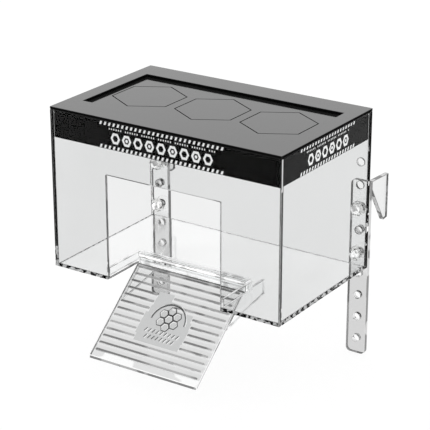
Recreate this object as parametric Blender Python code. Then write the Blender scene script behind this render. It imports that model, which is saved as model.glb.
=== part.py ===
"""A hang-on basking box for a turtle tank: clear sheet box, dark lid, climbing ramp and two rim-hook straps."""

import math

import bmesh
import bpy
from mathutils import Vector

MM = 0.001
GAP = 0.3 * MM

# The box: outside width, depth and height, and the sheet that it is cut from.
BOX_W = 280.0 * MM
BOX_D = 178.0 * MM
BOX_H = 178.0 * MM
SHEET = 3.0 * MM
STRAP_SHEET = 5.0 * MM

# The doorway in the front, and the floor cut-out behind it.
DOOR_W = 140.0 * MM
DOOR_H = 116.5 * MM
CUTOUT_D = 55.0 * MM
SIDE_CURB_H = 9.2 * MM
BACK_CURB_H = 5.7 * MM

# The lid.
FRAME_OPENING_W = 246.8 * MM
FRAME_OPENING_D = 114.0 * MM
FRAME_OPENING_Y = 34.0 * MM
COVER_R = 39.3 * MM
COVER_PITCH = 80.0 * MM
COVER_Y = 92.5 * MM
COVER_CLEARANCE = 0.4 * MM
SKIRT_DROP = 33.5 * MM
RAIL_W = 16.0 * MM

# The ramp.
RAMP_W = 135.0 * MM
RAMP_TOP = (48.2 * MM, 2.1 * MM)
RAMP_FOOT = (-38.6 * MM, -70.2 * MM)
GROOVES = 13
GROOVE_FIRST = 1.0 * MM
GROOVE_PITCH = 8.5 * MM
GROOVE_W = 3.0 * MM
GROOVE_DEPTH = 0.9 * MM
GROOVE_INSET = 5.0 * MM
# A smooth patch breaks the grooves from this one on, each between two offsets from the ramp's middle.
PATCH_FROM = 3
PATCH_BREAKS = ((-26, -4), (-27, 1), (-28, 28), (-31, 31), (-31, 31), (-31, 31), (-30, 30))
HOOK_CLEARANCE = 1.6 * MM
FLANGE_DROP = 3.7 * MM
GUSSET_BACK = 90.0 * MM
GUSSET_HEEL = -16.5 * MM
GUSSET_TOE_Y = 16.0 * MM

# The straps, their hooks and fasteners.
STRAP_W = 23.0 * MM
STRAP_TOP = 97.0 * MM
STRAP_FOOT = -103.0 * MM
STRAP_CORNER = 5.0 * MM
HOLE_D = 8.5 * MM
HOLE_PITCH = 25.5 * MM
HOLE_FIRST = -86.0 * MM
STRAP_HOLES = 7
WALL_HOLES = range(4, 9)
SCREW_HOLES = (4, 6)
SHANK_D = 7.8 * MM
SHANK_END = 165.5 * MM
HEAD_D = 16.0 * MM
HEAD_H = 4.0 * MM
NUT_FLATS = 13.0 * MM
NUT_FLANGE_D = 16.0 * MM
NUT_FLANGE_H = 2.0 * MM
NUT_H = 6.5 * MM
BORE_D = 8.6 * MM
HOOK_REACH = 35.7 * MM
HOOK_TOP = 96.0 * MM
HOOK_TIP = 44.0 * MM
HOOK_TIP_W = 8.0 * MM
SLOT_TOP = 87.0 * MM

# The part's origin in box coordinates: where the inner edge of the tank's rim sits.
STRAP_BACK = BOX_D + GAP + STRAP_SHEET
ORIGIN = Vector((BOX_W / 2, STRAP_BACK + GAP + HEAD_H, 70.0 * MM))


def material(name, colour, roughness, alpha=1.0, transmission=0.0):
    """A plain surface."""
    mat = bpy.data.materials.new(name)
    mat.use_nodes = True
    shader = mat.node_tree.nodes["Principled BSDF"]
    shader.inputs["Base Color"].default_value = (*colour, 1.0)
    shader.inputs["Roughness"].default_value = roughness
    shader.inputs["Metallic"].default_value = 0.0
    shader.inputs["IOR"].default_value = 1.49
    shader.inputs["Alpha"].default_value = alpha
    shader.inputs["Transmission Weight"].default_value = transmission
    return mat


def to_part(points):
    """Points from box coordinates to the part's frame."""
    return [Vector(p) - ORIGIN for p in points]


def empty(name, at):
    """A parent empty on a joint axis, given in box coordinates."""
    holder = bpy.data.objects.new(name, None)
    bpy.context.scene.collection.objects.link(holder)
    holder.location = Vector(at) - ORIGIN
    return holder


def add(name, shape, mat, parent=None):
    """An object from a bmesh whose points are in the part's frame."""
    bmesh.ops.recalc_face_normals(shape, faces=shape.faces)
    mesh = bpy.data.meshes.new(name)
    shape.to_mesh(mesh)
    shape.free()
    obj = bpy.data.objects.new(name, mesh)
    bpy.context.scene.collection.objects.link(obj)
    if mat:
        obj.data.materials.append(mat)
    if parent:
        obj.parent = parent
        for vertex in mesh.vertices:
            vertex.co -= parent.location
    return obj


def prism(shape, outline, axis, start, end):
    """Adds to a bmesh an outline extruded along an axis, from start to end, in box coordinates."""
    def point(u, v, w):
        return {"X": (w, u, v), "Y": (u, w, v), "Z": (u, v, w)}[axis]

    near = [shape.verts.new(p) for p in to_part([point(u, v, start) for u, v in outline])]
    far = [shape.verts.new(p) for p in to_part([point(u, v, end) for u, v in outline])]
    shape.faces.new(near)
    shape.faces.new(list(reversed(far)))
    for i in range(len(outline)):
        j = (i + 1) % len(outline)
        shape.faces.new((near[i], far[i], far[j], near[j]))


def rectangle(u0, u1, v0, v1):
    return [(u0, v0), (u1, v0), (u1, v1), (u0, v1)]


def ring(u, v, radius, count, turn=0.0):
    """Corners of a regular polygon, or of a circle when there are many."""
    steps = [turn + 2 * math.pi * k / count for k in range(count)]
    return [(u + radius * math.cos(a), v + radius * math.sin(a)) for a in steps]


def rounded(u0, u1, v0, v1, radius, steps=4):
    """A rectangle with rounded corners."""
    outline = []
    corners = ((u1, v1, 0), (u0, v1, 1), (u0, v0, 2), (u1, v0, 3))
    for u, v, quarter in corners:
        cu = u - radius if u == u1 else u + radius
        cv = v - radius if v == v1 else v + radius
        for k in range(steps + 1):
            a = math.pi / 2 * (quarter + k / steps)
            outline.append((cu + radius * math.cos(a), cv + radius * math.sin(a)))
    return outline


def sheet(name, outline, axis, start, end, mat, parent=None):
    """One flat piece."""
    shape = bmesh.new()
    prism(shape, outline, axis, start, end)
    return add(name, shape, mat, parent)


def cut(obj, outlines, axis, start, end):
    """Cuts outlines through a piece."""
    shape = bmesh.new()
    for outline in outlines:
        prism(shape, outline, axis, start, end)
    cutter = add(obj.name + "_cutter", shape, None)
    cutter.hide_render = True
    cutter.display_type = "WIRE"
    boolean = obj.modifiers.new("openings", "BOOLEAN")
    boolean.operation = "DIFFERENCE"
    boolean.solver = "EXACT"
    boolean.object = cutter


def smooth(obj):
    """Smooth shading on round faces, with sharp rims."""
    for polygon in obj.data.polygons:
        polygon.use_smooth = True
    obj.data.set_sharp_from_angle(angle=math.radians(35))


def hole_z(k):
    return HOLE_FIRST + HOLE_PITCH * k


def strap_x(side):
    return STRAP_W / 2 if side == "left" else BOX_W - STRAP_W / 2


def build_box(clear):
    """Front, back and side panels, the floor, and the curbs round its cut-out."""
    top = BOX_H - SHEET - GAP
    inner_x = (SHEET + GAP, BOX_W - SHEET - GAP)
    inner_y = (SHEET + GAP, BOX_D - SHEET - GAP)
    door = (BOX_W / 2 - DOOR_W / 2, BOX_W / 2 + DOOR_W / 2)
    front = [(0, 0), (door[0], 0), (door[0], DOOR_H), (door[1], DOOR_H), (door[1], 0), (BOX_W, 0),
             (BOX_W, top), (0, top)]
    sheet("front_panel", front, "Y", 0, SHEET, clear)
    back = sheet("back_panel", rectangle(0, BOX_W, 0, top), "Y", BOX_D - SHEET, BOX_D, clear)
    holes = []
    for side in ("left", "right"):
        holes += [ring(strap_x(side), hole_z(k), HOLE_D / 2, 16) for k in WALL_HOLES]
    cut(back, holes, "Y", BOX_D - 2 * SHEET, BOX_D + SHEET)
    sheet("left_panel", rectangle(*inner_y, 0, top), "X", 0, SHEET, clear)
    sheet("right_panel", rectangle(*inner_y, 0, top), "X", BOX_W - SHEET, BOX_W, clear)
    x0, x1 = inner_x
    y0, y1 = inner_y
    floor = [(x0, y0), (door[0], y0), (door[0], CUTOUT_D), (door[1], CUTOUT_D), (door[1], y0), (x1, y0),
             (x1, y1), (x0, y1)]
    sheet("floor_panel", floor, "Z", 0, SHEET, clear)
    on_floor = SHEET + GAP
    side_top = on_floor + SIDE_CURB_H
    back_end = CUTOUT_D + SHEET
    sheet("curb_left", rectangle(door[0] - SHEET, door[0], y0, back_end), "Z", on_floor, side_top, clear)
    sheet("curb_right", rectangle(door[1], door[1] + SHEET, y0, back_end), "Z", on_floor, side_top, clear)
    back_curb = rectangle(door[0] + GAP, door[1] - GAP, CUTOUT_D, back_end)
    sheet("curb_back", back_curb, "Z", on_floor, on_floor + BACK_CURB_H, clear)


def build_lid(dark):
    """The frame, the recessed plate with its rails and skirt, and three lift-out covers."""
    lid = empty("lid", (BOX_W / 2, BOX_D / 2, BOX_H))
    frame = sheet("top_frame", rectangle(0, BOX_W, 0, BOX_D), "Z", BOX_H - SHEET, BOX_H, dark, lid)
    x0 = BOX_W / 2 - FRAME_OPENING_W / 2
    opening = rectangle(x0, x0 + FRAME_OPENING_W, FRAME_OPENING_Y, FRAME_OPENING_Y + FRAME_OPENING_D)
    cut(frame, [opening], "Z", BOX_H - 2 * SHEET, BOX_H + SHEET)
    x0, x1 = SHEET + GAP, BOX_W - SHEET - GAP
    y0, y1 = SHEET + GAP, BOX_D - SHEET - GAP
    plate_top = BOX_H - SHEET - GAP
    plate_foot = plate_top - SHEET
    plate = sheet("hex_plate", rectangle(x0, x1, y0, y1), "Z", plate_foot, plate_top, dark, lid)
    centres = [BOX_W / 2 + COVER_PITCH * k for k in (-1, 0, 1)]
    half_turn = math.pi / 6
    holes = [ring(x, COVER_Y, COVER_R + COVER_CLEARANCE, 6, half_turn) for x in centres]
    cut(plate, holes, "Z", plate_foot - SHEET, plate_top + SHEET)
    for side, x in zip(("left", "middle", "right"), centres):
        holder = empty("hex_cover_" + side + "_axis", (x, COVER_Y, plate_top))
        hexagon = ring(x, COVER_Y, COVER_R, 6, half_turn)
        sheet("hex_cover_" + side, hexagon, "Z", plate_foot, plate_top, dark, holder)
    under = plate_foot - GAP
    skirt_foot = BOX_H - SKIRT_DROP
    for name, y in (("front", COVER_Y - COVER_R), ("back", COVER_Y + COVER_R)):
        strip = rectangle(x0 + 2 * SHEET, x1 - 2 * SHEET, y - RAIL_W / 2, y + RAIL_W / 2)
        sheet("cover_rail_" + name, strip, "Z", under - SHEET, under, dark, lid)
    sheet("skirt_left", rectangle(y0, y1, skirt_foot, under), "X", x0, x0 + SHEET, dark, lid)
    sheet("skirt_right", rectangle(y0, y1, skirt_foot, under), "X", x1 - SHEET, x1, dark, lid)
    span = rectangle(x0 + SHEET + GAP, x1 - SHEET - GAP, skirt_foot, under)
    sheet("skirt_front", span, "Y", y0, y0 + SHEET, dark, lid)
    sheet("skirt_back", span, "Y", y1 - SHEET, y1, dark, lid)


def ramp_surface(along, depth=0.0):
    """A point in Y and Z at a distance down the ramp from its top fold, and at a depth under its face."""
    fold, foot = Vector(RAMP_TOP), Vector(RAMP_FOOT)
    down = (foot - fold).normalized()
    inward = Vector((-down.y, down.x))
    return fold + down * along + inward * depth


def build_ramp(clear):
    """The grooved plate with its lip, hook and gussets, about the swing axis on the back curb."""
    curb_back = CUTOUT_D + SHEET
    curb_top = SHEET + GAP + BACK_CURB_H
    ramp = empty("ramp", (BOX_W / 2, curb_back, curb_top))
    x0, x1 = BOX_W / 2 - RAMP_W / 2, BOX_W / 2 + RAMP_W / 2
    slope = (RAMP_TOP[1] - RAMP_FOOT[1]) / (RAMP_TOP[0] - RAMP_FOOT[0])
    drop = SHEET * math.sqrt(1 + slope * slope)
    lip_y = CUTOUT_D - GAP - SHEET
    end = lip_y - GAP
    under_z = RAMP_TOP[1] - drop + slope * (end - RAMP_TOP[0])
    profile = [RAMP_TOP, (end, RAMP_TOP[1]), (end, under_z), (RAMP_FOOT[0], RAMP_FOOT[1] - drop), RAMP_FOOT]
    plate = sheet("ramp_plate", profile, "X", x0, x1, clear, ramp)
    shape = bmesh.new()
    for k in range(GROOVES):
        along = GROOVE_FIRST + GROOVE_PITCH * k
        corners = ((along, -1), (along + GROOVE_W, -1), (along + GROOVE_W, 1), (along, 1))
        outline = [tuple(ramp_surface(s, GROOVE_DEPTH * d)) for s, d in corners]
        if 0 <= k - PATCH_FROM < len(PATCH_BREAKS):
            left, right = PATCH_BREAKS[k - PATCH_FROM]
            prism(shape, outline, "X", x0 + GROOVE_INSET, BOX_W / 2 + left * MM)
            prism(shape, outline, "X", BOX_W / 2 + right * MM, x1 - GROOVE_INSET)
        else:
            prism(shape, outline, "X", x0 + GROOVE_INSET, x1 - GROOVE_INSET)
    cutter = add("ramp_grooves_cutter", shape, None)
    cutter.hide_render = True
    cutter.display_type = "WIRE"
    boolean = plate.modifiers.new("grooves", "BOOLEAN")
    boolean.operation = "DIFFERENCE"
    boolean.solver = "EXACT"
    boolean.object = cutter
    strip_foot = curb_top + GAP
    lip_foot = -2 * GAP
    sheet("ramp_lip", rectangle(x0, x1, lip_y, lip_y + SHEET), "Z", lip_foot, strip_foot - GAP, clear, ramp)
    flange_y = curb_back + HOOK_CLEARANCE
    strip = rectangle(x0, x1, lip_y, flange_y + SHEET)
    sheet("ramp_hook_strip", strip, "Z", strip_foot, strip_foot + SHEET, clear, ramp)
    flange = rectangle(x0, x1, flange_y, flange_y + SHEET)
    sheet("ramp_hook_flange", flange, "Z", strip_foot - GAP - FLANGE_DROP, strip_foot - GAP, clear, ramp)
    apart = GAP * math.sqrt(1 + slope * slope)
    gusset_top = lip_foot - GAP
    top_y = end + (gusset_top - (under_z - apart)) / slope
    toe_z = under_z - apart + slope * (GUSSET_TOE_Y - end)
    gusset = [(top_y, gusset_top), (CUTOUT_D + GAP, gusset_top), (GUSSET_BACK, -GAP),
              (GUSSET_BACK, GUSSET_HEEL), (GUSSET_TOE_Y, toe_z)]
    sheet("ramp_gusset_left", gusset, "X", x0, x0 + SHEET, clear, ramp)
    sheet("ramp_gusset_right", gusset, "X", x1 - SHEET, x1, clear, ramp)


def build_screw(name, x, z, mat, parent):
    """A round-headed screw along Y: a domed head behind the strap and a shank into the box."""
    shape = bmesh.new()
    head = STRAP_BACK + GAP
    rings = ((SHANK_END, SHANK_D / 2 - 1.0 * MM), (SHANK_END + 1.0 * MM, SHANK_D / 2), (head, SHANK_D / 2),
             (head, HEAD_D / 2), (head + HEAD_H - 1.0 * MM, HEAD_D / 2), (head + HEAD_H, HEAD_D / 2 - 1.5 * MM))
    loops = []
    for y, radius in rings:
        circle = ring(x, z, radius, 24)
        loops.append([shape.verts.new(p) for p in to_part([(u, y, v) for u, v in circle])])
    for a, b in zip(loops, loops[1:]):
        for i in range(24):
            j = (i + 1) % 24
            shape.faces.new((a[i], a[j], b[j], b[i]))
    shape.faces.new(loops[0])
    shape.faces.new(list(reversed(loops[-1])))
    smooth(add(name, shape, mat, parent))


def build_nut(name, x, z, mat):
    """A flanged nut inside the back panel, turning about its screw."""
    base = BOX_D - SHEET - GAP
    holder = empty(name + "_axis", (x, base, z))
    nut = sheet(name, ring(x, z, NUT_FLANGE_D / 2, 24), "Y", base - NUT_FLANGE_H, base, mat, holder)
    shape = bmesh.new()
    prism(shape, ring(x, z, NUT_FLATS / math.sqrt(3), 6), "Y", base - NUT_H, base - NUT_FLANGE_H / 2)
    body = add(name + "_hexagon", shape, None)
    body.hide_render = True
    body.display_type = "WIRE"
    join = nut.modifiers.new("hexagon", "BOOLEAN")
    join.operation = "UNION"
    join.solver = "EXACT"
    join.object = body
    cut(nut, [ring(x, z, BORE_D / 2, 24)], "Y", base - 2 * NUT_H, base + NUT_H)
    smooth(nut)


def build_hanger(side, clear, fastener):
    """A strap with its rim hook and two screws, and the two nuts that hold it."""
    x = strap_x(side)
    holder = empty("strap_" + side + "_axis", (x, BOX_D + GAP, hole_z(5)))
    outline = rounded(x - STRAP_W / 2, x + STRAP_W / 2, STRAP_FOOT, STRAP_TOP, STRAP_CORNER)
    strap = sheet("strap_" + side, outline, "Y", BOX_D + GAP, STRAP_BACK, clear, holder)
    holes = [ring(x, hole_z(k), HOLE_D / 2, 16) for k in range(STRAP_HOLES)]
    cut(strap, holes, "Y", BOX_D - SHEET, STRAP_BACK + SHEET)
    back = STRAP_BACK + GAP
    tip = back + HOOK_REACH
    profile = [(back, SLOT_TOP), (tip - HOOK_TIP_W, HOOK_TIP), (tip, HOOK_TIP + MM), (tip, HOOK_TOP - 1.5 * MM),
               (back, HOOK_TOP)]
    edge = 0.0 if side == "left" else BOX_W - STRAP_SHEET
    sheet("rim_hook_" + side, profile, "X", edge, edge + STRAP_SHEET, clear, holder)
    for k, level in zip(SCREW_HOLES, ("lower", "upper")):
        build_screw("screw_" + side + "_" + level, x, hole_z(k), fastener, holder)
        build_nut("nut_" + side + "_" + level, x, hole_z(k), fastener)


def main():
    for obj in list(bpy.data.objects):
        bpy.data.objects.remove(obj)
    clear = material("clear_acrylic", (0.93, 0.95, 0.95), 0.03, 0.35, 0.9)
    ribbed = material("ramp_acrylic", (0.86, 0.88, 0.89), 0.12, 0.45, 0.9)
    dark = material("black_acrylic", (0.012, 0.012, 0.013), 0.08)
    fastener = material("clear_nylon", (0.88, 0.88, 0.86), 0.25, 0.5, 0.8)
    build_box(clear)
    build_lid(dark)
    build_ramp(ribbed)
    for side in ("left", "right"):
        build_hanger(side, clear, fastener)


main()
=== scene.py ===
import math

import bmesh
import bpy
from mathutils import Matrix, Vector
from mathutils.geometry import delaunay_2d_cdt


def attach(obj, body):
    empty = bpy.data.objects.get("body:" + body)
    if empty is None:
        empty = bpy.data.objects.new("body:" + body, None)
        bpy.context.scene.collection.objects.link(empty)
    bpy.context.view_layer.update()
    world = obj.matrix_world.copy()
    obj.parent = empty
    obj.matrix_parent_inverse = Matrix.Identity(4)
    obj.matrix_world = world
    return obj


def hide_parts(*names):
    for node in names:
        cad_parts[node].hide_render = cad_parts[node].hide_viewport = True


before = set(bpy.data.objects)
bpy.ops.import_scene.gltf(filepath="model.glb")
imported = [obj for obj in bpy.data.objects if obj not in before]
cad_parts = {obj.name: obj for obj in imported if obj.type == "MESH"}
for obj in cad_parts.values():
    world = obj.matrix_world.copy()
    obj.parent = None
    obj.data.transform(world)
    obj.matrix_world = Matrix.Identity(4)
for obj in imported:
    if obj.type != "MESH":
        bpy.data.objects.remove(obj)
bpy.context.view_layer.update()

# Lengths are in millimetres, measured from the front left bottom corner of the box: X to the right along
# its front, Y to the back, Z up. MM turns them into the metres that Blender works in.
MM = 0.001
ORIGIN = (140.0, 187.6, 70.0)
GAP = 0.3
BOX_W, BOX_D, BOX_H = 280.0, 178.0, 178.0
SHEET = 3.0
TOP = BOX_H - SHEET - GAP
X0, X1 = SHEET + GAP, BOX_W - SHEET - GAP
Y0, Y1 = SHEET + GAP, BOX_D - SHEET - GAP

# The doorway in the front panel, the depth of the floor's cut-out behind it, and the curbs around that.
DOOR = (70.0, 210.0)
DOOR_H = 116.5
CUTOUT = 55.0
CURB_H, BACK_CURB_H = 9.2, 5.7

# The lid: the opening of its top frame, the hexagonal covers in it, their rails and the skirt's foot.
OPEN_X = (16.6, 263.4)
OPEN_Y = (34.0, 148.0)
COVER_X = (("left", 60.0), ("middle", 140.0), ("right", 220.0))
COVER_Y = 92.5
COVER_R = 39.3
COVER_CUT = 0.4
RAIL_INSET, RAIL_HALF = 6.0, 8.0
SKIRT_FOOT = BOX_H - 33.5

# The ramp: its width, the fold and the foot of its face in Y and Z, and how that face leans.
RAMP_X = (72.5, 207.5)
FOLD, FOOT = (48.2, 2.1), (-38.6, -70.2)
SLOPE = (FOLD[1] - FOOT[1]) / (FOLD[0] - FOOT[0])
LEAN = math.atan(SLOPE)
LENGTH = math.hypot(FOLD[0] - FOOT[0], FOLD[1] - FOOT[1])
DROP = SHEET * math.sqrt(1 + SLOPE * SLOPE)
PLATE_END = CUTOUT - GAP - SHEET - GAP
PLATE_UNDER = FOLD[1] - DROP + SLOPE * (PLATE_END - FOLD[0])

# The channels in the ramp's face, and the ends of the smooth patch along each channel that it breaks.
GROOVES, FIRST, PITCH, GROOVE_W = 13, 2.5, 8.5, 3.0
GROOVE_X = (RAMP_X[0] + 5.0, RAMP_X[1] - 5.0)
PATCH = [(-26.5, -3.5), (-27.0, 1.5), (-28.3, 28.3), (-31.2, 30.6), (-31.6, 31.2), (-31.6, 31.0),
         (-29.5, 29.9)]
PATCH_FROM = 3

# The straps behind the back panel, their holes, and the screws through two of them.
HALF_STRAP = 11.5
STRAP_Z = (-103.0, 97.0)
STRAP_BACK = 183.3
STRAP_CORNER = 5.0
HOLE_D, HOLE_FOOT, HOLE_PITCH = 8.5, -86.0, 25.5
STRAP_HOLES, PANEL_HOLES = range(7), range(4, 9)
SCREWS = ((4, "lower"), (6, "upper"))

# How finely round things are divided: quarter and half turns, bored holes and turned pieces.
ARC_STEPS, HOLE_STEPS, TURNED_STEPS = 6, 40, 48


def at(x, y, z):
    """A point of the box as a vector in metres in the part's frame."""
    return Vector(((x - ORIGIN[0]) * MM, (y - ORIGIN[1]) * MM, (z - ORIGIN[2]) * MM))


# ---------------------------------------------------------------- camera
camera_data = bpy.data.cameras.new("camera")
camera = bpy.data.objects.new("camera", camera_data)
bpy.context.scene.collection.objects.link(camera)
camera.location = at(1063.6, -1294.0, 714.2)
camera.rotation_euler = (math.radians(68.495), 0.0, math.radians(33.592))
camera_data.sensor_width = 36.0
camera_data.lens = 142.2
camera_data.clip_start = 0.05
camera_data.clip_end = 60.0
bpy.context.scene.camera = camera


# ---------------------------------------------------------------- materials
# The numbers of the colour mix node's sockets, because their names aren't unique.
COLOUR_A, COLOUR_B, COLOUR_OUT = 6, 7, 2
WHITE = (1.0, 1.0, 1.0, 1.0)
NEAR_BLACK = 0.003

# Where a low tint starts to fade and over what height, and the same for a rim that turns to one tone.
LOW_TINT_Z, LOW_TINT_FADE = -10.0, 20.0
SOLID_FADE, SOLID_SHIFT = 8.0, 0.5

# The ramp's end, painted with highlight, and the bands of painted highlight across it: their spacing
# and where one crest lies.
PAINTED_HIGHLIGHT_END = 7.0
HIGHLIGHT_SPACING, HIGHLIGHT_CREST = 95.0, -35.0


class Nodes:
    """A small helper for building node materials."""

    def __init__(self, name):
        self.mat = bpy.data.materials.new(name)
        self.mat.use_nodes = True
        self.tree = self.mat.node_tree
        self.shader = self.tree.nodes["Principled BSDF"]
        self.coords = self.tree.nodes.new("ShaderNodeTexCoord").outputs["Object"]

    def new(self, kind, **settings):
        node = self.tree.nodes.new("ShaderNode" + kind)
        for key, value in settings.items():
            setattr(node, key, value)
        return node

    def link(self, a, b):
        self.tree.links.new(a, b)

    def put(self, name, value):
        self.shader.inputs[name].default_value = value

    def feed(self, name, output):
        self.link(output, self.shader.inputs[name])

    def scaled(self, scale):
        mapping = self.new("Mapping")
        mapping.inputs["Scale"].default_value = scale
        self.link(self.coords, mapping.inputs["Vector"])
        return mapping.outputs["Vector"]

    def noise(self, scale, detail=2.0, stretch=None, roughness=0.5):
        node = self.new("TexNoise")
        node.inputs["Scale"].default_value = scale
        node.inputs["Detail"].default_value = detail
        node.inputs["Roughness"].default_value = roughness
        self.link(self.scaled(stretch) if stretch else self.coords, node.inputs["Vector"])
        return node.outputs["Fac"]

    def ramp(self, value, stops):
        node = self.new("ValToRGB")
        elements = node.color_ramp.elements
        while len(elements) < len(stops):
            elements.new(0.5)
        for element, (position, colour) in zip(elements, stops):
            element.position = position
            element.color = (*colour, 1.0)
        self.link(value, node.inputs["Fac"])
        return node.outputs["Color"]

    def span(self, value, low, high):
        node = self.new("MapRange")
        node.inputs["To Min"].default_value = low
        node.inputs["To Max"].default_value = high
        self.link(value, node.inputs["Value"])
        return node.outputs["Result"]

    def bump(self, relief, strength, distance):
        node = self.new("Bump")
        node.inputs["Strength"].default_value = strength
        node.inputs["Distance"].default_value = distance
        self.link(relief, node.inputs["Height"])
        self.feed("Normal", node.outputs["Normal"])

    def calc(self, operation, a, b=0.0):
        node = self.new("Math", operation=operation)
        for socket, value in zip(node.inputs, (a, b)):
            if isinstance(value, float):
                socket.default_value = value
            else:
                self.link(value, socket)
        return node.outputs[0]

    def part(self, axis):
        split = self.new("SeparateXYZ")
        self.link(self.coords, split.inputs[0])
        return split.outputs[axis]

    def mix(self, factor):
        """A colour mix whose two colours are still to be set."""
        node = self.new("Mix", data_type="RGBA")
        self.link(factor, node.inputs["Factor"])
        return node


def grey(v):
    return (v, v, v)


def height(z):
    """A height over the box's foot as the Z of object coordinates."""
    return (z - ORIGIN[2]) * MM


def clear_sheet(name, tint, ior, rough=0.02, specular=0.05, low_tint=None, swing=0.02):
    """Polished clear acrylic: faint haze, handling marks in the gloss, and the slow waviness of cast sheet.

    With a low tint, the sheet is of that tint under the box's foot and fades to its own tint above.
    """
    n = Nodes(name)
    n.put("IOR", ior)
    n.put("Transmission Weight", 1.0)
    n.put("Specular Tint", (*grey(specular), 1.0))
    cloud = n.noise(9.0, 2.0)
    low = tuple(c * (1.0 - swing) for c in tint)
    tone = n.ramp(cloud, [(0.35, low), (0.65, tint)])
    if low_tint:
        over = n.calc("ADD", n.part("Z"), -height(LOW_TINT_Z))
        share = n.calc("MULTIPLY", over, 1.0 / (LOW_TINT_FADE * MM))
        mix = n.mix(n.calc("MINIMUM", n.calc("MAXIMUM", share, 0.0), 1.0))
        mix.inputs[COLOUR_A].default_value = (*low_tint, 1.0)
        n.link(tone, mix.inputs[COLOUR_B])
        tone = mix.outputs[COLOUR_OUT]
    n.feed("Base Color", tone)
    marks = n.noise(60.0, 6.0, (1.0, 1.0, 7.0))
    n.feed("Roughness", n.span(marks, rough * 0.3, rough * 1.6))
    n.bump(n.noise(5.0, 1.0), 0.05, 0.001)
    return n.mat


def cut_rim(name, dark, light, scale, share, stretch=(1.0, 1.0, 1.0), clear=0.0, solid_over=None, ior=1.49,
            by_lid=False, glow=0.0):
    """The cut rim of clear sheet, with painted reflections: dark and light painted in short dashes.

    Over the height solid_over the painted dark tone wins, beside the lid (by_lid) the rim is painted
    black for the black lid that shows in it, and a glow of painted light makes up for the light that
    stacked clear layers take from it.
    """
    n = Nodes(name)
    n.put("IOR", ior)
    n.put("Transmission Weight", clear)
    n.put("Specular IOR Level", 0.25)
    marks = n.noise(scale, 1.5, stretch, 0.45)
    if solid_over is not None:
        fade = n.new("MapRange")
        fade.inputs["From Min"].default_value = height(solid_over)
        fade.inputs["From Max"].default_value = height(solid_over + SOLID_FADE)
        fade.inputs["To Max"].default_value = SOLID_SHIFT
        n.link(n.part("Z"), fade.inputs["Value"])
        marks = n.calc("SUBTRACT", marks, fade.outputs["Result"])
    stops = [(share - 0.02, dark), (share + 0.02, light)]
    if by_lid:
        above = n.calc("GREATER_THAN", n.part("Z"), height(SKIRT_FOOT))
        marks = n.calc("SUBTRACT", n.calc("MAXIMUM", marks, 0.1), above)
        stops = [(0.02, grey(NEAR_BLACK)), (0.06, dark)] + stops
    tone = n.ramp(marks, stops)
    n.feed("Base Color", tone)
    if glow:
        n.feed("Emission Color", tone)
        n.put("Emission Strength", glow)
    n.feed("Roughness", n.span(n.noise(400.0, 3.0), 0.08, 0.3))
    n.bump(n.noise(900.0, 2.0), 0.25, 0.0002)
    return n.mat


def black_sheet(name, base, specular, rough=(0.05, 0.13), ior=1.49):
    """Polished black acrylic with fine wipe marks and a little dust in the gloss."""
    n = Nodes(name)
    n.put("IOR", ior)
    n.put("Specular IOR Level", specular)
    fine = n.noise(38.0, 5.0, (1.0, 3.0, 1.0))
    n.feed("Base Color", n.ramp(fine, [(0.3, grey(base * 0.8)), (0.7, grey(base * 1.2))]))
    n.feed("Roughness", n.span(n.noise(22.0, 4.0), *rough))
    n.bump(n.noise(7.0, 1.0), 0.04, 0.001)
    return n.mat


def ribbed_sheet(name):
    """The ramp's sheet, its ribs painted with shade from light under one channel to grey over the next.

    Its end is painted with patches of highlight.
    """
    n = Nodes(name)
    n.put("IOR", 1.13)
    n.put("Transmission Weight", 1.0)
    n.put("Specular Tint", (*grey(0.3), 1.0))
    down = n.calc("ADD", n.calc("MULTIPLY", n.part("Y"), -math.cos(LEAN) / MM),
                  n.calc("MULTIPLY", n.part("Z"), -math.sin(LEAN) / MM))
    fold = (FOLD[0] - ORIGIN[1]) * math.cos(LEAN) + (FOLD[1] - ORIGIN[2]) * math.sin(LEAN)
    along = n.calc("ADD", down, fold)
    rib = n.calc("FRACT", n.calc("DIVIDE", n.calc("SUBTRACT", along, FIRST), PITCH))
    foot = n.calc("GREATER_THAN", along, LENGTH - PAINTED_HIGHLIGHT_END)
    turn = n.calc("MULTIPLY", n.calc("ADD", n.part("X"), -HIGHLIGHT_CREST * MM), 2 * math.pi / (HIGHLIGHT_SPACING * MM))
    highlight_bands = n.calc("COSINE", turn)
    highlight_patches = n.calc("ADD", n.calc("MULTIPLY", highlight_bands, 0.4), n.noise(60.0, 0.0))
    value = n.calc("MULTIPLY", rib, n.calc("SUBTRACT", 1.0, foot))
    tone = n.ramp(value, [(0.0, grey(0.56)), (0.2, grey(0.72)), (0.42, grey(0.57)), (0.8, grey(0.54)),
                          (1.0, grey(0.5))])
    # The end's colour is a painted highlight, brighter in bands across the ramp.
    gloss = n.ramp(highlight_patches, [(0.5, grey(0.6)), (0.6, grey(1.0))])
    mix = n.mix(foot)
    n.link(tone, mix.inputs[COLOUR_A])
    n.link(gloss, mix.inputs[COLOUR_B])
    n.feed("Base Color", mix.outputs[COLOUR_OUT])
    n.feed("Roughness", n.span(n.noise(60.0, 6.0), 0.02, 0.1))
    n.bump(n.noise(30.0, 1.0), 0.05, 0.0005)
    return n.mat


def print_ink(name):
    """White screen print: slightly uneven, matte, and a little brighter than the light alone makes it."""
    n = Nodes(name)
    cover = n.noise(700.0, 3.0)
    n.feed("Base Color", n.ramp(cover, [(0.3, grey(0.93)), (0.6, grey(1.0))]))
    n.put("Emission Color", WHITE)
    n.put("Emission Strength", 0.3)
    n.feed("Roughness", n.span(cover, 0.35, 0.55))
    n.bump(cover, 0.2, 0.00005)
    return n.mat


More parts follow.
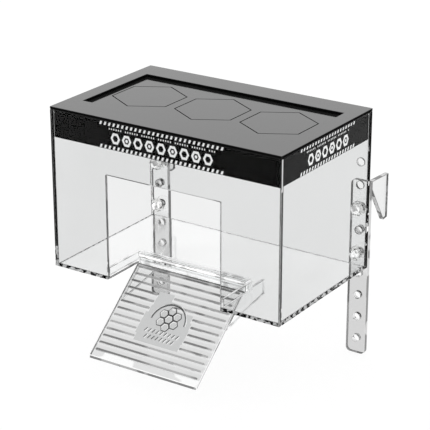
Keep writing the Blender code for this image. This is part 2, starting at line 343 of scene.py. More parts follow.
CLEAR = clear_sheet("clear_acrylic_sheet", (0.858, 0.862, 0.862), 1.4)
SIDE = clear_sheet("clear_acrylic_side", (0.852, 0.856, 0.856), 1.12, specular=0.02)
FLOOR = clear_sheet("clear_acrylic_floor", (0.945, 0.948, 0.948), 1.4, swing=0.05)
BAR = clear_sheet("clear_acrylic_bar", (0.99, 0.995, 0.995), 1.1)
# The rims and edges below carry painted reflections in dark and light dashes, and their glows are painted
# light; the ramp's groove and emblem looks are painted shade and painted light.
RIM = cut_rim("acrylic_rim_light", grey(0.6), grey(0.98), 60.0, 0.42, clear=0.7, by_lid=True)
EDGE = cut_rim("acrylic_edge_grey", grey(0.16), grey(0.34), 60.0, 0.52, by_lid=True)
DASH = cut_rim("acrylic_rim_dashed", grey(0.002), grey(1.0), 190.0, 0.5, solid_over=22.0, ior=1.1)
LONG_DASH = cut_rim("acrylic_rim_long_dashes", grey(0.002), grey(1.0), 190.0, 0.62, (1.0, 1.0, 0.75),
                    ior=1.1, by_lid=True)
DARK_EDGE = cut_rim("acrylic_edge_dark", grey(0.003), grey(0.95), 190.0, 0.48, solid_over=22.0, ior=1.1)
CORNER = cut_rim("acrylic_rim_corner", grey(0.6), grey(0.06), 30.0, 0.3, solid_over=136.5)
BLACK_LINE = cut_rim("acrylic_edge_by_lid", grey(0.003), grey(0.006), 60.0, 0.5)
BAR_RIM = cut_rim("acrylic_bar_rim", grey(0.7), grey(1.0), 60.0, 0.42, glow=0.4)
DOOR_LINE = cut_rim("acrylic_door_line", grey(0.25), grey(1.0), 18.0, 0.5, glow=0.1)
BAR_EDGE = cut_rim("acrylic_bar_edge", grey(0.15), grey(0.8), 60.0, 0.47)
STRAP = clear_sheet("clear_acrylic_strap", (0.99, 0.995, 0.995), 1.12, 0.03, low_tint=grey(0.66))
HOOK = clear_sheet("clear_acrylic_hook", (0.84, 0.845, 0.845), 1.3)
STRAP_RIM = cut_rim("acrylic_strap_rim", grey(0.22), grey(0.6), 40.0, 0.5)
STRAP_EDGE = cut_rim("acrylic_strap_edge", grey(0.3), grey(0.9), 60.0, 0.5)
STRAP_DARK = cut_rim("acrylic_strap_rim_shaded", grey(0.02), grey(0.5), 90.0, 0.6, (1.0, 1.0, 0.5))
HOLE_RIM = cut_rim("acrylic_hole_rim", grey(0.04), grey(0.95), 230.0, 0.46)
HOOK_RIM = cut_rim("acrylic_hook_rim", grey(0.2), grey(0.7), 90.0, 0.5)
RAMP = ribbed_sheet("ribbed_ramp_sheet")
RAMP_PATCH = clear_sheet("ramp_smooth_patch", (0.36, 0.364, 0.364), 1.3, 0.12, 0.3)
RAMP_RIM = cut_rim("ramp_rim", grey(0.2), grey(0.4), 50.0, 0.5)
GROOVE_DARK = cut_rim("ramp_groove_shade", grey(0.22), grey(0.46), 22.0, 0.5)
RAMP_SIDE = cut_rim("ramp_side_rim", grey(0.3), grey(0.62), 50.0, 0.5)
EMBLEM_DARK = cut_rim("ramp_emblem_shade", grey(0.02), grey(0.1), 40.0, 0.5)
GROOVE_LIGHT = cut_rim("ramp_groove_light", grey(0.6), grey(1.0), 40.0, 0.4)
BLACK = black_sheet("black_acrylic", 0.014, 0.65, ior=1.6)
SKIRT = black_sheet("black_acrylic_skirt", 0.0012, 0.02, ior=1.08)
BLACK_CUT = black_sheet("black_acrylic_cut_edge", 0.003, 0.02, ior=1.1)
BLACK_EDGE = black_sheet("black_acrylic_polished_edge", 0.01, 0.3, (0.15, 0.3))
INK = print_ink("white_print")
NYLON = clear_sheet("clear_nylon", (0.99, 0.99, 0.985), 1.08, specular=0.3)
NYLON_EDGE = cut_rim("nylon_edge", grey(0.1), grey(1.0), 260.0, 0.47, glow=0.2)
NYLON_SHANK = cut_rim("nylon_shank", grey(0.4), grey(0.95), 160.0, 0.45, clear=0.3, glow=0.45, ior=1.1)

# Lists of materials start with the faces, the rims and the rounded edges. A screw only has its head and
# its shank, and the emblem its shaded flanks, its tops and its lit flanks.
FACES, RIMS, EDGES = 0, 1, 2
BAR_LOOK = [BAR, BAR_RIM, BAR_EDGE]
HOOK_LOOK = [HOOK, HOOK_RIM, EDGE]
LID_LOOK = [BLACK, BLACK_CUT, BLACK_EDGE]
SKIRT_LOOK = [SKIRT, SKIRT, SKIRT]
NUT_LOOK = [NYLON, NYLON, NYLON_EDGE]
SCREW_LOOK = [NYLON, NYLON_SHANK]
STRAP_LOOK = [STRAP, STRAP_RIM, STRAP_EDGE, STRAP_DARK, HOLE_RIM]
STRAP_SHADED, STRAP_BORES = 3, 4
PANEL_LOOK = [CLEAR, RIM, EDGE, DASH, DARK_EDGE, LONG_DASH, CORNER, BLACK_LINE, HOLE_RIM, BAR_RIM,
              DOOR_LINE]
DASHED, DARK, LONG_DASHED, CORNER_RIM, BLACK_RIMS, BORES, PALE, DOOR_TOP = range(3, 11)
SIDE_LOOK = [SIDE] + PANEL_LOOK[1:]
FLOOR_LOOK = [FLOOR] + PANEL_LOOK[1:]
PLATE_LOOK = [RAMP, RAMP_RIM, GROOVE_LIGHT, GROOVE_DARK, GROOVE_LIGHT, RAMP_PATCH, RAMP_SIDE, BAR_RIM, BAR]
SHADED_WALL, LIT_WALL, SMOOTH, PLATE_SIDE, UNDER_LIP, UNDERSIDE = range(3, 9)
EMBLEM_LOOK = [EMBLEM_DARK, RAMP_PATCH, GROOVE_LIGHT]


# ---------------------------------------------------------------- mesh tools
# Edges over CRISP degrees are rounded in EDGE_STEPS. A face with a side over LONG_SIDE is flat: its
# borders stay sharp over BORDER degrees, and all other edges over ROUND_UNDER.
CRISP, BORDER, ROUND_UNDER = 32, 0.6, 35
EDGE_STEPS = 2
LONG_SIDE = 5.5
MERGE = 1e-5


def round_edges(shape, width):
    """Rounds every crisp edge a little, the new faces in a material slot of their own."""
    crisp = math.radians(CRISP)
    edges = [e for e in shape.edges if len(e.link_faces) == 2 and e.calc_face_angle(0.0) > crisp]
    bmesh.ops.bevel(shape, geom=edges, offset=width * MM, offset_type="OFFSET", segments=EDGE_STEPS,
                    profile=0.5, affect="EDGES", clamp_overlap=True, material=EDGES)


def shade(shape, smooth_under, rounding):
    """Smooth shading on round faces only: faces with a long side stay flat to their borders."""
    def flat(f):
        return f.material_index != rounding and max(e.calc_length() for e in f.edges) > LONG_SIDE * MM

    for f in shape.faces:
        f.smooth = True
    for e in shape.edges:
        angle = e.calc_face_angle(0.0)
        border = angle > math.radians(BORDER) and any(flat(f) for f in e.link_faces)
        e.smooth = not (border or angle > math.radians(smooth_under))


def place(name, shape, materials, body, nodes, bevel=0.35, smooth_under=ROUND_UNDER, sort=None):
    """Makes a piece from a bmesh, lets it ride on a body and stand for CAD nodes."""
    bmesh.ops.recalc_face_normals(shape, faces=shape.faces)
    if bevel:
        round_edges(shape, bevel)
    shape.normal_update()
    shade(shape, smooth_under, EDGES if bevel else -1)
    if sort:
        for f in shape.faces:
            c = f.calc_center_median()
            f.material_index = sort(f.material_index, *(c[i] / MM + ORIGIN[i] for i in range(3)))
    mesh = bpy.data.meshes.new(name)
    shape.to_mesh(mesh)
    shape.free()
    obj = bpy.data.objects.new(name, mesh)
    bpy.context.scene.collection.objects.link(obj)
    for mat in materials:
        mesh.materials.append(mat)
    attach(obj, body)
    if nodes:
        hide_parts(*nodes)
    return obj


def spot(axis, u, v, w):
    """The point at u and v across an axis and w along it."""
    return at(*{"X": (w, u, v), "Y": (u, w, v), "Z": (u, v, w)}[axis])


def within(loop, c):
    """Whether a point lies inside a closed outline."""
    hit = False
    for (x0, y0), (x1, y1) in zip(loop, loop[1:] + loop[:1]):
        if (y0 > c.y) != (y1 > c.y) and c.x < (x1 - x0) * (c.y - y0) / (y1 - y0) + x0:
            hit = not hit
    return hit


def fill(points, edges):
    """Spans faces between points and edges: gives the points, and each face with its centre."""
    verts, _, faces, _, _, _ = delaunay_2d_cdt(points, edges, [], 0, MERGE)
    return verts, [(f, sum((verts[i] for i in f), Vector((0, 0))) / len(f)) for f in faces]


def circuit(first, count):
    """The edges of a closed outline whose points are numbered from first."""
    return [(first + i, first + (i + 1) % count) for i in range(count)]


def slab(shape, outline, axis, start, end, holes=(), rim=RIMS):
    """Adds a flat piece with holes: two faces in the first material, rims in another."""
    loops = [list(outline)] + [list(h) for h in holes]
    points, edges = [], []
    for loop in loops:
        edges += circuit(len(points), len(loop))
        points += [Vector(p) for p in loop]
    verts, faces = fill(points, edges)
    kept = [f for f, c in faces if within(loops[0], c) and not any(within(h, c) for h in loops[1:])]
    near = [shape.verts.new(spot(axis, p.x, p.y, start)) for p in verts]
    far = [shape.verts.new(spot(axis, p.x, p.y, end)) for p in verts]
    count = {}
    for f in kept:
        a = shape.faces.new([near[i] for i in f])
        b = shape.faces.new([far[i] for i in reversed(f)])
        a.material_index = b.material_index = FACES
        for i, j in zip(f, list(f[1:]) + [f[0]]):
            count.setdefault(frozenset((i, j)), []).append((i, j))
    for pair in count.values():
        if len(pair) == 1:
            i, j = pair[0]
            side = shape.faces.new((near[j], near[i], far[i], far[j]))
            side.material_index = rim
    for v in near + far:
        if not v.link_faces:
            shape.verts.remove(v)


def rectangle(u0, u1, v0, v1):
    return [(u0, v0), (u1, v0), (u1, v1), (u0, v1)]


def ring(u, v, radius, count, turn=0.0):
    """A regular outline with count corners, the first at an angle of turn."""
    angles = [turn + 2 * math.pi * k / count for k in range(count)]
    return [(u + radius * math.cos(a), v + radius * math.sin(a)) for a in angles]


def rounded(u0, u1, v0, v1, radius):
    """A rectangle with rounded corners."""
    outline = []
    for u, v, quarter in ((u1, v1, 0), (u0, v1, 1), (u0, v0, 2), (u1, v0, 3)):
        cu = u - radius if u == u1 else u + radius
        cv = v - radius if v == v1 else v + radius
        for k in range(ARC_STEPS + 1):
            a = math.pi / 2 * (quarter + k / ARC_STEPS)
            outline.append((cu + radius * math.cos(a), cv + radius * math.sin(a)))
    return outline


def piece(name, outline, axis, start, end, materials, body, holes=(), bevel=0.35, sort=None):
    """A flat piece that stands for the CAD node of its name."""
    shape = bmesh.new()
    slab(shape, outline, axis, start, end, holes)
    return place(name + "_piece", shape, materials, body, [name], bevel, sort=sort)


# ---------------------------------------------------------------- the box
# How far the centre of a face may lie from a plane: when it is in it, rounds it off, or is close by.
IN_PLANE, ROUNDS_IT, CLOSE_BY = 0.1, 0.6, 1.0
BACK_RIM = 10.0


# The sorts below give each panel rim and rounded edge its look of painted reflection: dark, light, dashed,
# and black beside the lid.
def outer(slot, x, y, z):
    """Outer edges of the box are dark, its bottom rims dashed, and edges beside the lid black."""
    low = z < ROUNDS_IT
    if slot in (RIMS, EDGES) and z > SKIRT_FOOT:
        return BLACK_RIMS
    if slot == EDGES:
        side = x < ROUNDS_IT or x > BOX_W - ROUNDS_IT or y < ROUNDS_IT or y > BOX_D - ROUNDS_IT
        return DARK if low or side else EDGES
    return DASHED if slot == RIMS and low else slot


def front_sort(slot, x, y, z):
    """The left rim is dashed, the right one has the corner's look, and the door's left rim is grey.

    The edges along the top of the door are a line of their own.
    """
    if slot == RIMS and x > BOX_W - IN_PLANE:
        return CORNER_RIM
    if slot == EDGES and x > BOX_W - CLOSE_BY and z > CLOSE_BY:
        return RIMS
    if slot == RIMS and x < IN_PLANE:
        return DASHED
    if slot == RIMS and abs(x - DOOR[0]) < IN_PLANE:
        return EDGES
    if slot == EDGES and abs(z - DOOR_H) < CLOSE_BY:
        return DOOR_TOP
    return outer(slot, x, y, z)


def back_sort(slot, x, y, z):
    """The back's upright rims are dashed from foot to lid, and its holes have a look of their own."""
    if slot in (RIMS, EDGES) and (x > BOX_W - ROUNDS_IT or x < ROUNDS_IT):
        return LONG_DASHED
    if slot == RIMS and 2 * CLOSE_BY < z < TOP - CLOSE_BY:
        return BORES
    return outer(slot, x, y, z)


def left_sort(slot, x, y, z):
    """The left panel's front rim, seen through the front panel, is dark."""
    return DARK if slot == RIMS and y < SHEET + CLOSE_BY else outer(slot, x, y, z)


def right_sort(slot, x, y, z):
    """The right panel's front rim is light and its back rim dashed."""
    if slot == RIMS and y < SHEET + CLOSE_BY:
        return RIMS
    return LONG_DASHED if slot == RIMS and y > BOX_D - SHEET - CLOSE_BY else outer(slot, x, y, z)


def floor_sort(slot, x, y, z):
    """The floor's front and side rims are dashed, and those around its cut-out are light or pale.

    The lower edges of the cut-out's sides are black.
    """
    in_door = DOOR[0] - CLOSE_BY < x < DOOR[1] + CLOSE_BY and Y0 + CLOSE_BY < y < CUTOUT + CLOSE_BY
    if slot == EDGES and in_door:
        return BLACK_RIMS if z < ROUNDS_IT and y < CUTOUT - CLOSE_BY else PALE
    if slot == RIMS and in_door:
        return RIMS if x < DOOR[0] + CLOSE_BY else PALE
    if slot == RIMS and y < BOX_D - BACK_RIM:
        return DASHED
    return outer(slot, x, y, z)


def hole_z(k):
    """The height of a strap's hole, counted from the lowest."""
    return HOLE_FOOT + HOLE_PITCH * k


def strap_x(side):
    """The middle of a strap, which is flush with the box's side."""
    return HALF_STRAP if side == "left" else BOX_W - HALF_STRAP


def hole(x, k):
    return ring(x, hole_z(k), HOLE_D / 2, HOLE_STEPS)


def build_box():
    front = [(0, 0), (DOOR[0], 0), (DOOR[0], DOOR_H), (DOOR[1], DOOR_H), (DOOR[1], 0), (BOX_W, 0),
             (BOX_W, TOP), (0, TOP)]
    piece("front_panel", front, "Y", 0, SHEET, PANEL_LOOK, "box", sort=front_sort)
    holes = [hole(strap_x(s), k) for s in ("left", "right") for k in PANEL_HOLES]
    piece("back_panel", rectangle(0, BOX_W, 0, TOP), "Y", BOX_D - SHEET, BOX_D, PANEL_LOOK, "box",
          holes, sort=back_sort)
    side = rectangle(Y0, Y1, 0, TOP)
    piece("left_panel", side, "X", 0, SHEET, SIDE_LOOK, "box", sort=left_sort)
    piece("right_panel", side, "X", BOX_W - SHEET, BOX_W, SIDE_LOOK, "box",
          sort=right_sort)
    floor = [(X0, Y0), (DOOR[0], Y0), (DOOR[0], CUTOUT), (DOOR[1], CUTOUT), (DOOR[1], Y0), (X1, Y0),
             (X1, Y1), (X0, Y1)]
    piece("floor_panel", floor, "Z", 0, SHEET, FLOOR_LOOK, "box", sort=floor_sort)
    low = SHEET + GAP
    end = CUTOUT + SHEET
    curb = rectangle(Y0, end, low, low + CURB_H)
    back_curb = rectangle(DOOR[0] + GAP, DOOR[1] - GAP, low, low + BACK_CURB_H)
    piece("curb_left", curb, "X", DOOR[0] - SHEET, DOOR[0], BAR_LOOK, "box")
    piece("curb_right", curb, "X", DOOR[1], DOOR[1] + SHEET, BAR_LOOK, "box")
    piece("curb_back", back_curb, "Y", CUTOUT, end, BAR_LOOK, "box")


# ---------------------------------------------------------------- the lid
COVER_BEVEL = 0.5


def cut_line(slot, x, y, z):
    """The rounded edges of the cut-outs and their covers are dull, so that the cut reads as a dark line."""
    return min(slot, RIMS)


def cover_outline(x, radius):
    """A hexagon with a corner towards the back."""
    return ring(x, COVER_Y, radius, 6, math.pi / 6)


def build_lid():
    opening = rectangle(*OPEN_X, *OPEN_Y)
    piece("top_frame", rectangle(0, BOX_W, 0, BOX_D), "Z", BOX_H - SHEET, BOX_H, LID_LOOK, "lid",
          [opening])
    plate_foot = TOP - SHEET
    holes = [cover_outline(x, COVER_R + COVER_CUT) for _, x in COVER_X]
    piece("hex_plate", rectangle(X0, X1, Y0, Y1), "Z", plate_foot, TOP, LID_LOOK, "lid",
          holes, COVER_BEVEL, sort=cut_line)
    for side, x in COVER_X:
        name = "hex_cover_" + side
        piece(name, cover_outline(x, COVER_R), "Z", plate_foot, TOP, LID_LOOK, name,
              (), COVER_BEVEL, sort=cut_line)
    under = plate_foot - GAP
    for name, y in (("front", COVER_Y - COVER_R), ("back", COVER_Y + COVER_R)):
        rail = rectangle(X0 + RAIL_INSET, X1 - RAIL_INSET, y - RAIL_HALF, y + RAIL_HALF)
        piece("cover_rail_" + name, rail, "Z", under - SHEET, under, LID_LOOK, "lid")
    side = rectangle(Y0, Y1, SKIRT_FOOT, under)
    span = rectangle(X0 + SHEET + GAP, X1 - SHEET - GAP, SKIRT_FOOT, under)
    for name, outline, axis, start in (("left", side, "X", X0), ("right", side, "X", X1 - SHEET),
                                       ("front", span, "Y", Y0), ("back", span, "Y", Y1 - SHEET)):
        piece("skirt_" + name, outline, axis, start, start + SHEET, SKIRT_LOOK, "lid")


# The print on the band: its lift off the skirt and its thickness, the two rows of slanted dashes, the row
# of small marks, which leaves out every seventh, and the row of hexagons, every other one with a dot.
INK_LIFT, INK_T = 0.05, 0.04
DASH_ROWS = (145.2, 169.8)
DASH_PITCH, DASH_W, DASH_LEAN, DASH_H = 5.4, 2.4, 1.4, 3.6
SMALL_ROW = (165.9, 167.7)
SMALL_PITCH, SMALL_W, SMALL_GROUP, SMALL_START, SMALL_SPARE = 2.9, 1.1, 7, 12.0, 22.0
HEXAGON_ROW, HEXAGON_START = 157.3, 13.0
HEXAGON_OUTER, HEXAGON_INNER, HEXAGON_DOT = (5.9, 6.7), (3.3, 3.6), (1.7, 1.9)

# The start and end of each print along the band, and its hexagons.
FRONT_PRINT, RIGHT_PRINT = (62.0, 214.5, 9), (38.6, 147.0, 6)


def build_print(name, axis, level, inwards, u0, u1, hexagons):
    """Two film-edge rows of slanted dashes with a row of plain hexagons between them.

    The print lies at a level of its axis, and inwards is the sign of the way to the skirt behind it.
    """
    shape = bmesh.new()
    count = int(round((u1 - u0) / DASH_PITCH))
    pitch = (u1 - u0) / count

    def mark(outline, holes=()):
        slab(shape, outline, axis, level, level + INK_T * inwards, holes, FACES)

    def hexagon(middle, size):
        return [(middle + p * size[0], HEXAGON_ROW + q * size[1]) for p, q in ring(0, 0, 1.0, 6)]

    for v in DASH_ROWS:
        for k in range(count):
            u = u0 + pitch * k
            top = u + DASH_LEAN
            mark([(u, v), (u + DASH_W, v), (top + DASH_W, v + DASH_H), (top, v + DASH_H)])
    for k in range(int((u1 - u0 - SMALL_SPARE) / SMALL_PITCH)):
        u = u0 + SMALL_START + SMALL_PITCH * k
        if k % SMALL_GROUP != SMALL_GROUP - 1:
            mark(rectangle(u, u + SMALL_W, *SMALL_ROW))
    step = (u1 - u0 - 2 * HEXAGON_START) / hexagons
    for k in range(hexagons):
        middle = u0 + HEXAGON_START + step * (k + 0.5)
        mark(hexagon(middle, HEXAGON_OUTER), [hexagon(middle, HEXAGON_INNER)])
        if k % 2:
            mark(hexagon(middle, HEXAGON_DOT))
    place(name, shape, [INK], "lid", [], 0)


# ---------------------------------------------------------------- the ramp
# A channel's cross-section: shares of its half width with their depths, and where its lit wall starts. The
# plate's rounded edges are shaded over the height at which the first channel's lit wall starts.
GROOVE_SHAPE = ((0.9, 0.35), (0.62, 0.7), (0.25, 0.88))
LIT_FROM = 0.8
SHADED_OVER = FOLD[1] + (FOOT[1] - FOLD[1]) * (FIRST + GROOVE_W / 2 * LIT_FROM) / LENGTH
PATCH_INSET, PATCH_STEP = 2.2, 0.2
PLATE_BEVEL = 0.6
ROUND_CHANNEL = 50


def on_ramp(x, along, depth=0.0):
    """A point of the ramp's face, at a distance down from the fold and a depth under it."""
    t = along / LENGTH
    y = FOLD[0] + (FOOT[0] - FOLD[0]) * t
    z = FOLD[1] + (FOOT[1] - FOLD[1]) * t
    return at(x, y + math.sin(LEAN) * depth, z - math.cos(LEAN) * depth)


def groove_runs():
    """(start, end, distance down the ramp) of each groove, the smooth patch left out."""
    runs = []
    for k in range(GROOVES):
        along = FIRST + PITCH * k
        if 0 <= k - PATCH_FROM < len(PATCH):
            left, right = PATCH[k - PATCH_FROM]
            runs += [(GROOVE_X[0], BOX_W / 2 + left, along), (BOX_W / 2 + right, GROOVE_X[1], along)]
        else:
            runs.append((*GROOVE_X, along))
    return runs


def stadium(x0, x1, along, half):
    """The outline of a round-ended slot, in X and distance down the ramp."""
    points = []
    for centre, turn in ((x1, -math.pi / 2), (x0, math.pi / 2)):
        for k in range(ARC_STEPS + 1):
            a = turn + math.pi * k / ARC_STEPS
            points.append((centre + half * math.cos(a), along + half * math.sin(a)))
    return points


def add_groove(shape, rim, x0, x1, along):
    """A round-bottomed channel under its rim: shaded wall above, lit wall below."""
    half = GROOVE_W / 2
    loops = [rim]
    for share, depth in GROOVE_SHAPE:
        outline = stadium(x0, x1, along, half * share)
        loops.append([shape.verts.new(on_ramp(x, s, depth)) for x, s in outline])
    made = []
    for a, b in zip(loops, loops[1:]):
        for i, j in circuit(0, len(a)):
            made.append(shape.faces.new((a[i], a[j], b[j], b[i])))
    made.append(shape.faces.new(loops[-1]))
    low = on_ramp(0, along + half * LIT_FROM).z
    for f in made:
        f.material_index = SHADED_WALL if f.calc_center_median().z > low else LIT_WALL


def patch_outline():
    """The smooth patch, a little inside the ends of the channels that it breaks."""
    left, right = [], []
    for k, (a, b) in enumerate(PATCH):
        s = FIRST + PITCH * (PATCH_FROM + k)
        low, high = s - PITCH / 2 + PATCH_STEP, s + PITCH / 2 - PATCH_STEP
        for side, x in ((left, a + PATCH_INSET), (right, b - PATCH_INSET)):
            side += [(BOX_W / 2 + x, low), (BOX_W / 2 + x, high)]
    return right + left[::-1]


def groove_face(shape, face, runs):
    """Swaps the ramp's plain face for one with the channels sunk in it."""
    rim = [v for v in face.verts]
    bmesh.ops.delete(shape, geom=[face], context="FACES_ONLY")
    top = on_ramp(0, 0)
    down = (on_ramp(0, 1) - top).normalized()

    points = [Vector((v.co.x / MM + ORIGIN[0], (v.co - top).dot(down) / MM)) for v in rim]
    verts = list(rim)
    edges = circuit(0, len(rim))

    def add(outline):
        edges.extend(circuit(len(points), len(outline)))
        points.extend(Vector(p) for p in outline)
        new = [shape.verts.new(on_ramp(*p)) for p in outline]
        verts.extend(new)
        return new

    slots = []
    for x0, x1, along in runs:
        outline = stadium(x0, x1, along, GROOVE_W / 2)
        slots.append((add(outline), outline, (x0, x1, along)))
    patch = patch_outline()
    add(patch)
    for f, c in fill(points, edges)[1]:
        if not any(within(outline, c) for _, outline, _ in slots):
            new = shape.faces.new([verts[i] for i in f])
            new.material_index = SMOOTH if within(patch, c) else FACES
    for rim_verts, _, run in slots:
        add_groove(shape, rim_verts, *run)


def plate_sort(slot, x, y, z):
    """The rounded edges look like the channels' walls: shaded around the fold, lit everywhere below it.

    Side rims are grey, the end under the lip is pale, and the underside is clear.
    """
    if slot == EDGES:
        return SHADED_WALL if z > SHADED_OVER else LIT_WALL
    if slot == RIMS and min(abs(x - RAMP_X[0]), abs(x - RAMP_X[1])) < IN_PLANE:
        return PLATE_SIDE
    if slot == RIMS and y > FOLD[0] + CLOSE_BY:
        return UNDER_LIP
    under = z < FOLD[1] + SLOPE * (y - FOLD[0]) - DROP + IN_PLANE
    return UNDERSIDE if slot == FACES and under else slot


def build_plate():
    shape = bmesh.new()
    profile = [FOLD, (PLATE_END, FOLD[1]), (PLATE_END, PLATE_UNDER), (FOOT[0], FOOT[1] - DROP), FOOT]
    kinds = (FACES, RIMS, FACES, RIMS, FACES)
    left = [shape.verts.new(at(RAMP_X[0], y, z)) for y, z in profile]
    right = [shape.verts.new(at(RAMP_X[1], y, z)) for y, z in profile]
    for (i, j), kind in zip(circuit(0, len(profile)), kinds):
        shape.faces.new((left[i], right[i], right[j], left[j])).material_index = kind
    shape.faces.new(left).material_index = RIMS
    shape.faces.new(list(reversed(right))).material_index = RIMS
    bmesh.ops.recalc_face_normals(shape, faces=shape.faces)
    round_edges(shape, PLATE_BEVEL)
    shape.normal_update()
    normal = (on_ramp(0, 0, -1) - on_ramp(0, 0)).normalized()
    face = max((f for f in shape.faces if f.normal.dot(normal) > 0.999), key=lambda f: f.calc_area())
    groove_face(shape, face, groove_runs())
    place("ramp_plate_piece", shape, PLATE_LOOK, "ramp", ["ramp_plate"], 0, ROUND_CHANNEL,
          plate_sort)


# The emblem: its middle and the height of its ridges, the arch, the cells under it, and the rows of dashes
# with the number, the place and the half length of each. A ridge's cross-section runs over its shaded
# flank, top, lit flank and underside, and so do its materials.
EMBLEM_X, RIDGE_H, RIDGE_LIFT = BOX_W / 2 + 1.0, 0.4, 0.01
RIDGE_SHAPE, RIDGE_SLOTS = ((-1, 0), (-0.35, 1), (0.35, 1), (1, 0)), (0, 1, 2, 1)
ARCH_W, ARCH_HALF, ARCH_FOOT, ARCH_RISE, ARCH_STEPS = 2.6, 21.0, 56.0, 22.0, 20
CELL, CELL_GAP, CELL_STEP, CELL_W, CELLS_AT = 5.2, 0.6, 1.84, 1.9, 51.5
EMBLEM_DASHES = ((9, 68.5, 22.0), (8, 75.5, 19.0))
EMBLEM_DASH_W, EMBLEM_DASH = 2.4, (1.1, 2.2)


def add_stroke(shape, line, width, closed=False):
    """A low ridge along a line on the ramp, with a shaded and a lit flank."""
    line = [Vector(p) for p in line]
    count = len(line)
    rows = []
    for i, p in enumerate(line):
        before = line[i - 1] if closed or i else p
        after = line[(i + 1) % count] if closed or i < count - 1 else p
        run = (after - before).normalized()
        side = Vector((-run.y, run.x)) * width / 2
        rows.append([shape.verts.new(on_ramp(*(p + side * a), -RIDGE_H * h - RIDGE_LIFT))
                     for a, h in RIDGE_SHAPE])
    pairs = list(zip(rows, rows[1:])) + ([(rows[-1], rows[0])] if closed else [])
    for a, b in pairs:
        for (p, q), slot in zip(circuit(0, len(RIDGE_SHAPE)), RIDGE_SLOTS):
            shape.faces.new((a[p], b[p], b[q], a[q])).material_index = slot
    if not closed:
        shape.faces.new(rows[0])
        shape.faces.new(list(reversed(rows[-1])))


def build_emblem():
    """A plain shell of hexagon cells under an arch, over two rows of small dashes."""
    shape = bmesh.new()
    angles = [math.pi * (0.02 + 0.96 * k / ARCH_STEPS) for k in range(ARCH_STEPS + 1)]
    arch = [(EMBLEM_X + ARCH_HALF * math.cos(a), ARCH_FOOT - ARCH_RISE * math.sin(a)) for a in angles]
    add_stroke(shape, arch, ARCH_W)
    for u, v in [(0.0, 0.0)] + ring(0.0, 0.0, CELL_STEP * CELL, 6, math.pi / 6):
        add_stroke(shape, ring(EMBLEM_X + u, CELLS_AT + v, CELL - CELL_GAP, 6), CELL_W, True)
    du, dv = EMBLEM_DASH
    for count, v, half in EMBLEM_DASHES:
        for k in range(count):
            u = EMBLEM_X - half + 2 * half * (k + 0.5) / count
            add_stroke(shape, [(u - du, v + dv), (u + du, v - dv)], EMBLEM_DASH_W)
    place("ramp_emblem", shape, EMBLEM_LOOK, "ramp", [], 0)


# The lip that stands behind the plate, the strip and flange that hook over the back curb, and the gussets.
LIP_Z = (-0.6, 9.0)
STRIP_BACK, FLANGE_FOOT = 62.6, 5.3
GUSSET_TOP, GUSSET_TOE, GUSSET_BACK, GUSSET_LOW = -0.9, 16.0, 90.0, -16.5


def build_ramp():
    build_plate()
    build_emblem()

    def across(name, outline, axis, start):
        piece(name, outline, axis, start, start + SHEET, BAR_LOOK, "ramp")

    lip = PLATE_END + GAP
    across("ramp_lip", rectangle(*RAMP_X, *LIP_Z), "Y", lip)
    across("ramp_hook_strip", rectangle(*RAMP_X, lip, STRIP_BACK), "Z", LIP_Z[1] + GAP)
    across("ramp_hook_flange", rectangle(*RAMP_X, FLANGE_FOOT, LIP_Z[1]), "Y", STRIP_BACK - SHEET)
    under = PLATE_UNDER - GAP * math.sqrt(1 + SLOPE * SLOPE)
    gusset = [(PLATE_END + (GUSSET_TOP - under) / SLOPE, GUSSET_TOP), (CUTOUT + GAP, GUSSET_TOP),
              (GUSSET_BACK, -GAP), (GUSSET_BACK, GUSSET_LOW),
              (GUSSET_TOE, under + SLOPE * (GUSSET_TOE - PLATE_END))]
    across("ramp_gusset_left", gusset, "X", RAMP_X[0])
    across("ramp_gusset_right", gusset, "X", RAMP_X[1] - SHEET)


# ---------------------------------------------------------------- hanging set
# A strap's bores lie further in than HOLE_ZONE, and its shaded edges within SHADED_ZONE of its left side.
STRAP_BEVEL, HOLE_ZONE, SHADED_ZONE = 0.5, 2.0, 0.5

# A rim hook: its width, its reach behind the strap and the breadth of its point, then the heights of its
# root's two ends, of its point's two corners and of the far end of its top.
HOOK_W, HOOK_REACH, HOOK_POINT = 5.0, 35.7, 8.0
HOOK_ROOT, HOOK_TIP, HOOK_TOP = (87.0, 96.0), (44.0, 45.0), 94.5

# A screw's shank from its end to the head, then its head behind the strap: (Y, radius) each.
SHANK_R = 3.9
SHANK = [(165.5, 2.6), (166.3, SHANK_R), (166.8, SHANK_R), (167.1, 3.5), (167.4, SHANK_R)]
HEAD = [(-0.4, SHANK_R), (0.0, SHANK_R), (0.0, 7.8), (0.3, 8.0), (2.6, 8.0), (3.4, 7.4), (3.8, 6.4),
        (4.0, 4.6), (4.0, 2.2), (2.6, 2.0)]
ROUND_SHANK = 40

# A nut: its flange and the hexagon in front of it, their thicknesses and the gap to the back panel.
NUT_BORE, FLANGE_R, NUT_WIDTH = 4.3, 7.9, 13.0
FLANGE_T, NUT_FOOT, NUT_END = 1.9, 2.0, 6.5
NUT_BEVEL = 0.4


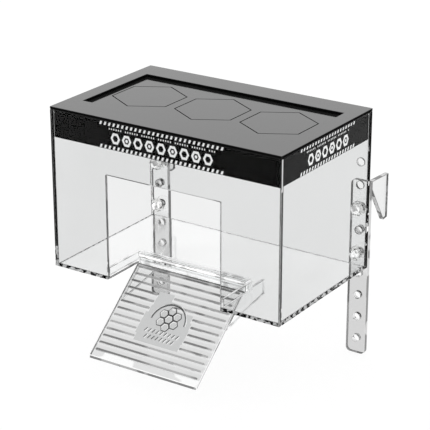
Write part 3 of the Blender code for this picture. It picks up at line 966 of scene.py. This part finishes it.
def build_strap(side):
    x = strap_x(side)
    body = "strap_" + side

    def sort(slot, px, py, pz):
        low, high = STRAP_Z
        if slot == RIMS and abs(px - x) < HALF_STRAP - HOLE_ZONE and low + HOLE_ZONE < pz < high - HOLE_ZONE:
            return STRAP_BORES
        return STRAP_SHADED if slot == EDGES and px < x - HALF_STRAP + SHADED_ZONE else slot

    outline = rounded(x - HALF_STRAP, x + HALF_STRAP, *STRAP_Z, STRAP_CORNER)
    piece(body, outline, "Y", BOX_D + GAP, STRAP_BACK, STRAP_LOOK, body,
          [hole(x, k) for k in STRAP_HOLES], STRAP_BEVEL, sort=sort)
    back = STRAP_BACK + GAP
    tip = back + HOOK_REACH
    profile = [(back, HOOK_ROOT[0]), (tip - HOOK_POINT, HOOK_TIP[0]), (tip, HOOK_TIP[1]), (tip, HOOK_TOP),
               (back, HOOK_ROOT[1])]
    edge = 0.0 if side == "left" else BOX_W - HOOK_W
    piece("rim_hook_" + side, profile, "X", edge, edge + HOOK_W, HOOK_LOOK, body,
          (), STRAP_BEVEL)
    for k, level in SCREWS:
        build_screw(side + "_" + level, x, hole_z(k), body)


def lathe(shape, x, z, profile):
    """Turns a profile of (Y, radius) about an axis along Y, closed at both ends."""
    loops = [[shape.verts.new(at(u, y, v)) for u, v in ring(x, z, r, TURNED_STEPS)] for y, r in profile]
    for a, b in zip(loops, loops[1:]):
        for i, j in circuit(0, TURNED_STEPS):
            shape.faces.new((a[i], a[j], b[j], b[i]))
    shape.faces.new(loops[0])
    shape.faces.new(list(reversed(loops[-1])))


def screw_sort(slot, x, y, z):
    """A screw's head is clear, and all that lies before the strap's back has the shank's look."""
    return FACES if y > STRAP_BACK else RIMS


def build_screw(which, x, z, body):
    """A screw that is pulled off with its strap, and the nut on it, which turns."""
    shape = bmesh.new()
    head = STRAP_BACK + GAP
    lathe(shape, x, z, SHANK + [(head + y, r) for y, r in HEAD])
    name = "screw_" + which
    place(name + "_piece", shape, SCREW_LOOK, body, [name], 0, ROUND_SHANK, screw_sort)
    shape = bmesh.new()
    base = BOX_D - SHEET - GAP
    bore = [ring(x, z, NUT_BORE, TURNED_STEPS)]
    slab(shape, ring(x, z, FLANGE_R, TURNED_STEPS), "Y", base - FLANGE_T, base, bore)
    slab(shape, ring(x, z, NUT_WIDTH / math.sqrt(3), 6), "Y", base - NUT_END, base - NUT_FOOT, bore)
    name = "nut_" + which
    place(name + "_piece", shape, NUT_LOOK, name, [name], NUT_BEVEL)


# ---------------------------------------------------------------- stage and light
# The floor, in metres, just under the straps' feet, and the sky's tones from straight down to overhead.
STAGE_SIZE = 12.0
STAGE_Z = STRAP_Z[0] - 0.5
STAGE_GLOW = 0.9
SKY, SKY_STRENGTH = ((0.0, 1.0), (0.42, 0.95), (1.0, 0.65)), 1.2


def build_floor():
    """A pale floor that lights the object from below."""
    shape = bmesh.new()
    bmesh.ops.create_grid(shape, x_segments=1, y_segments=1, size=STAGE_SIZE)
    mesh = bpy.data.meshes.new("floor")
    shape.to_mesh(mesh)
    shape.free()
    floor = bpy.data.objects.new("floor", mesh)
    floor.location = (0, 0, height(STAGE_Z))
    bpy.context.scene.collection.objects.link(floor)
    n = Nodes("pale_floor")
    n.feed("Base Color", n.ramp(n.noise(0.5, 1.0), [(0.3, grey(0.11)), (0.7, grey(0.13))]))
    n.put("Roughness", 0.9)
    n.put("Specular IOR Level", 0.1)
    n.put("Emission Color", WHITE)
    n.put("Emission Strength", STAGE_GLOW)
    mesh.materials.append(n.mat)


def build_sky():
    """A white studio all round, a little darker overhead."""
    world = bpy.data.worlds.new("studio")
    bpy.context.scene.world = world
    world.use_nodes = True
    tree = world.node_tree
    background = tree.nodes["Background"]
    coords = tree.nodes.new("ShaderNodeTexCoord")
    split = tree.nodes.new("ShaderNodeSeparateXYZ")
    ramp = tree.nodes.new("ShaderNodeValToRGB")
    elements = ramp.color_ramp.elements
    elements.new(0.5)
    for element, (position, value) in zip(elements, SKY):
        element.position = position
        element.color = (*grey(value), 1.0)
    tree.links.new(coords.outputs["Generated"], split.inputs[0])
    tree.links.new(split.outputs["Z"], ramp.inputs["Fac"])
    tree.links.new(ramp.outputs["Color"], background.inputs["Color"])
    background.inputs["Strength"].default_value = SKY_STRENGTH
    bpy.context.scene.view_settings.view_transform = "Standard"
    bpy.context.scene.view_settings.look = "None"


build_box()
build_lid()
build_print("print_front", "Y", Y0 - INK_LIFT, 1, *FRONT_PRINT)
build_print("print_right", "X", X1 + INK_LIFT, -1, *RIGHT_PRINT)
build_ramp()
build_strap("left")
build_strap("right")
build_floor()
build_sky()
